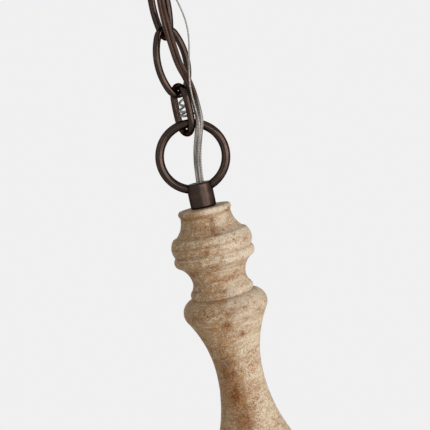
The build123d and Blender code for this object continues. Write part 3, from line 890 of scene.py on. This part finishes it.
def twin_lead(name, points, start, material):
    """One length of flat twin lead: two round cores side by side, with a chart for the strands inside."""
    sizes = bpy.context.scene.chandelier_leads
    sides = 16
    offset = sizes.cord_width / 2 - sizes.core_radius
    places, faces, chart, drops = [], [], [], []
    ways = tangents(points)
    for half in (-1, 1):
        base = len(places)
        run = start
        for order, (place, way) in enumerate(zip(points, ways)):
            step = (place - points[order - 1]).length if order else 0.0
            run += step
            across, upward = lead_sides(way, run)
            centre = place + across * (half * offset)
            drop = min(1.0, max(0.0, (JACKET_TURN - place.z) / JACKET_FADE))
            high = base + order * sides
            low = high - sides
            for index in range(sides):
                angle = tau * index / sides
                places.append(centre + (across * cos(angle) + upward * sin(angle)) * sizes.core_radius)
                drops.append(drop)
                if order:
                    beside = (index + 1) % sides
                    faces.append((low + index, low + beside, high + beside, high + index))
                    left, right = index / sides, (index + 1) / sides
                    chart += [(left, run - step), (right, run - step), (right, run), (left, run)]
        for ring, winding in ((0, -1), (len(points) - 1, 1)):
            rim = base + ring * sides
            first = len(places)
            places += [place.copy() for place in places[rim:rim + sides]]
            drops += drops[rim:rim + sides]
            faces.append(tuple(range(first, first + sides))[::winding])
            chart += [(0.5, start)] * sides
    piece = mesh_piece(name, places, faces, material)
    piece.data.attributes.new("drop", "FLOAT", "POINT").data.foreach_set("value", drops)
    sheet = piece.data.uv_layers.new(name="lead")
    sheet.data.foreach_set("uv", [value for pair in chart for value in pair])
    return piece


class CHANDELIER_OT_column(bpy.types.Operator):
    """Turn the column's wooden pieces on a fine mesh and wash them"""

    bl_idname = "chandelier.column"
    bl_label = "Turned column"

    def execute(self, context):
        for node in ("upper_turning", "column_vase", "lower_turning", "bottom_bowl", "bottom_drop"):
            turned_piece(node)
        finish(["arm_hub"], washed_wood())
        return {"FINISHED"}


class CHANDELIER_OT_chain(bpy.types.Operator):
    """Finish the chain, the rings and their collars"""

    bl_idname = "chandelier.chain"
    bl_label = "Chain and rings"

    def execute(self, context):
        links = ["chain_link_1", "chain_link_2", "chain_link_3", "connector_link"]
        finish(links + ["top_ring", "hanging_ring"], bent_bronze())
        finish(["top_collar", "ring_collar"], satin_bronze())
        return {"FINISHED"}


class CHANDELIER_OT_ceiling(bpy.types.Operator):
    """Finish the canopy, its bracket and its threaded pipe"""

    bl_idname = "chandelier.ceiling"
    bl_label = "Ceiling fittings"

    def execute(self, context):
        finish(["canopy"], satin_bronze())
        zinc = plain_finish("zinc_plate")
        finish(["ceiling_bracket", "canopy_pipe", "pipe_locknut", "column_pipe"], zinc)
        pitch = 1.0 * MM
        top = Vector((0.0, 0.0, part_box("pipe_locknut")[0].z - pitch / 2))
        values = {
            "Count": int((top.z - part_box("canopy")[0].z) / pitch) - 1,
            "Pitch": pitch,
            "Radius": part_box("canopy_pipe")[1].x,
            "Ridge": 0.28 * MM,
            "Material": zinc,
        }
        thread = node_tree_piece("canopy_pipe_thread", [top], [], ridges_tree(), values)
        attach(thread, "ceiling_mount")
        return {"FINISHED"}


class CHANDELIER_OT_arms(bpy.types.Operator):
    """Finish the arms, their rosettes and nuts, and the acorn nut"""

    bl_idname = "chandelier.arms"
    bl_label = "Arms"

    def execute(self, context):
        finish(each_arm("arm"), bent_bronze())
        finish(["arm_rosettes", "dish_nuts", "acorn_nut"], satin_bronze())
        finish(["arm_nuts"], plain_finish("zinc_plate"))
        return {"FINISHED"}


class CHANDELIER_OT_candles(bpy.types.Operator):
    """Finish the dishes, cups, sleeves and sockets, and line the sockets with thread"""

    bl_idname = "chandelier.candles"
    bl_label = "Candles"

    def execute(self, context):
        finish(each_arm("drip_dish"), satin_bronze())
        finish(each_arm("candle_cup"), washed_wood())
        finish(each_arm("candle_sleeve"), plain_finish("ivory_card"))
        finish(each_arm("lamp_socket"), plain_finish("moulded_resin"))
        mounts = frame["record"]["mounts"]
        sockets = [mount for mount in mounts if mount["name"].startswith("lamp_socket")]
        bore = sockets[0]["dims"]["r_mm"] * MM
        depth = sockets[0]["dims"]["length_mm"] * MM
        pitch = 2.5 * MM
        up = Vector((0.0, 0.0, depth / 2 - pitch))
        mouths = [Vector(socket["pos_m"]) + up for socket in sockets]
        values = {
            "Count": int(depth / pitch) - 1,
            "Pitch": pitch,
            "Radius": bore,
            "Ridge": 0.7 * MM,
            "Material": plain_finish("rolled_brass"),
        }
        thread = node_tree_piece("socket_threads", mouths, [], ridges_tree(), values)
        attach(thread, "light")
        return {"FINISHED"}


class CHANDELIER_OT_cord(bpy.types.Operator):
    """Hang the twin supply lead down the side of the chain"""

    bl_idname = "chandelier.cord"
    bl_label = "Supply cord"

    def execute(self, context):
        material = clear_jacket()
        for index, points, start in lead_lengths(CORD_ROUTE):
            piece = twin_lead(f"twin_lead_{index + 1}", points, start, material)
            settle_lead(piece, "supply_cord")
        return {"FINISHED"}


class CHANDELIER_OT_earth(bpy.types.Operator):
    """Lay the bare twisted earth strand beside the cord"""

    bl_idname = "chandelier.earth"
    bl_label = "Earth wire"

    def execute(self, context):
        sizes = context.scene.chandelier_leads
        values = {
            "Strands": sizes.strands,
            "Lay": sizes.strand_lay,
            "Spread": sizes.earth_width / 2 - sizes.strand_radius,
            "Radius": sizes.strand_radius,
            "Material": plain_finish("tinned_wire"),
        }
        # In the twist each wire stands for a few that lie together, and turns more often
        loose = {"Start": 0.0, "Radius": 2.2 * sizes.strand_radius, "Lay": 0.5 * sizes.strand_lay}
        twist = self.strand("earth_twist", route_line(TWIST_ROUTE), values | loose)
        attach(twist, "connector")
        for index, points, start in lead_lengths(EARTH_ROUTE):
            piece = self.strand(f"earth_strand_{index + 1}", points, values | {"Start": start})
            settle_lead(piece, "earth_wire")
        return {"FINISHED"}

    def strand(self, name, points, values):
        edges = [(order, order + 1) for order in range(len(points) - 1)]
        piece = node_tree_piece(name, points, edges, strands_tree(), values)
        piece.data.shade_smooth()
        return piece


class CHANDELIER_OT_stage(bpy.types.Operator):
    """Set the camera, the light and the pale floor"""

    bl_idname = "chandelier.stage"
    bl_label = "Stage"

    def execute(self, context):
        scene = context.scene
        stage = scene.chandelier_stage
        scene.view_settings.view_transform = "Standard"
        self.camera(scene, stage)
        self.world(scene, stage)
        self.floor(stage)
        middle = Vector((0.0, 0.0, (CAD_BOX[0][2] + CAD_BOX[1][2]) / 2))
        for name, place, width, height, power_name in LAMPS:
            self.lamp(scene, name, Vector(place), middle, width, height, getattr(stage, power_name))
        return {"FINISHED"}

    def camera(self, scene, stage):
        data = bpy.data.cameras.new("camera")
        data.lens = stage.lens
        data.sensor_width = 36.0
        data.clip_start = 0.01
        camera = bpy.data.objects.new("camera", data)
        ahead = (Vector(stage.aim) - Vector(stage.eye)).normalized()
        level = ahead.cross(Vector((0.0, 0.0, 1.0))).normalized()
        upright = level.cross(ahead)
        up = upright * cos(stage.roll) + level * sin(stage.roll)
        right = ahead.cross(up)
        turn = Matrix((right, up, -ahead)).transposed().to_4x4()
        camera.matrix_world = Matrix.Translation(Vector(stage.eye)) @ turn
        scene.collection.objects.link(camera)
        scene.camera = camera

    def world(self, scene, stage):
        world = bpy.data.worlds.new("room")
        world.use_nodes = True
        wiring = Wiring(world.node_tree)
        output = world.node_tree.nodes["World Output"]
        light = world.node_tree.nodes["Background"]
        light.inputs["Color"].default_value = (1.0, 0.985, 0.965, 1.0)
        light.inputs["Strength"].default_value = stage.ambient
        seen = wiring.made("ShaderNodeBackground", {"Color": stage.backdrop, "Strength": 1.0})
        share = self.looked_at(wiring)
        both = wiring.made("ShaderNodeMixShader", {0: share, 1: light.outputs[0], 2: seen})
        wiring.feed(output.inputs["Surface"], both)
        scene.world = world

    def looked_at(self, wiring):
        """One for a ray from the camera, straight or by way of something shiny or clear."""
        path = wiring.add("ShaderNodeLightPath").outputs
        mirrored = wiring.maths("MAXIMUM", path["Is Glossy Ray"], path["Is Transmission Ray"])
        return wiring.maths("MAXIMUM", path["Is Camera Ray"], mirrored)

    def floor(self, stage):
        reach, drop, sides = 0.85, 0.06, 96
        fade_from, fade_to, least_glow = 0.78, 1.10, 0.55
        height = CAD_BOX[0][2] - drop
        angles = [tau * index / sides for index in range(sides)]
        rim = [Vector((reach * cos(angle), reach * sin(angle), height)) for angle in angles]
        material, wiring, surface, place = new_material("pale_floor")
        surface.inputs["Base Color"].default_value = stage.backdrop
        surface.inputs["Roughness"].default_value = 0.9
        glow = wiring.made("ShaderNodeEmission", {"Color": stage.backdrop, "Strength": 1.0})
        away = wiring.vector("LENGTH", place, output="Value")
        faded = wiring.maths("MAXIMUM", wiring.ramp(away, fade_from, fade_to), least_glow)
        share = wiring.times(faded, self.looked_at(wiring))
        both = wiring.made("ShaderNodeMixShader", {0: share, 1: surface.outputs[0], 2: glow})
        under = wiring.made("ShaderNodeNewGeometry", output="Backfacing")
        clear = wiring.made("ShaderNodeBsdfTransparent")
        topside = wiring.made("ShaderNodeMixShader", {0: under, 1: both, 2: clear})
        output = material.node_tree.nodes["Material Output"]
        wiring.feed(output.inputs["Surface"], topside)
        floor = mesh_piece("floor", rim, [tuple(range(sides))], material, smooth=False)

    def lamp(self, scene, name, place, target, width, height, power):
        data = bpy.data.lights.new(name, "AREA")
        data.shape = "RECTANGLE"
        data.size = width
        data.size_y = height
        data.energy = power
        data.color = (1.0, 0.98, 0.955)
        lamp = bpy.data.objects.new(name, data)
        turn = (target - place).to_track_quat("-Z", "Y").to_matrix().to_4x4()
        lamp.matrix_world = Matrix.Translation(place) @ turn
        lamp.visible_camera = False
        scene.collection.objects.link(lamp)


class CHANDELIER_PT_panel(bpy.types.Panel):
    """Shows the chandelier's steps and settings in the sidebar"""

    bl_label = "Chandelier"
    bl_idname = "CHANDELIER_PT_panel"
    bl_space_type = "VIEW_3D"
    bl_region_type = "UI"
    bl_category = "Chandelier"

    def draw(self, context):
        for step in STEPS:
            self.layout.operator(step.bl_idname)
        for group, _ in GROUPS:
            settings = getattr(context.scene, group)
            box = self.layout.box()
            for name in settings.bl_rna.properties.keys():
                if name not in ("rna_type", "name"):
                    box.prop(settings, name)


GROUPS = [
    ("chandelier_wood", ChandelierWood),
    ("chandelier_metal", ChandelierMetal),
    ("chandelier_leads", ChandelierLeads),
    ("chandelier_stage", ChandelierStage),
]
STEPS = [
    CHANDELIER_OT_stage,
    CHANDELIER_OT_cord,
    CHANDELIER_OT_earth,
    CHANDELIER_OT_chain,
    CHANDELIER_OT_column,
    CHANDELIER_OT_ceiling,
    CHANDELIER_OT_arms,
    CHANDELIER_OT_candles,
]


def register():
    for name, group in GROUPS:
        bpy.utils.register_class(group)
        setattr(bpy.types.Scene, name, bpy.props.PointerProperty(type=group))
    for step in STEPS:
        bpy.utils.register_class(step)
    bpy.utils.register_class(CHANDELIER_PT_panel)


def unregister():
    bpy.utils.unregister_class(CHANDELIER_PT_panel)
    for step in reversed(STEPS):
        bpy.utils.unregister_class(step)
    for name, group in reversed(GROUPS):
        delattr(bpy.types.Scene, name)
        bpy.utils.unregister_class(group)


def main():
    register()
    bpy.ops.chandelier.stage()
    bpy.ops.chandelier.cord()
    bpy.ops.chandelier.earth()
    bpy.ops.chandelier.chain()
    bpy.ops.chandelier.column()
    bpy.ops.chandelier.ceiling()
    bpy.ops.chandelier.arms()
    bpy.ops.chandelier.candles()


if __name__ == "__main__":
    main()
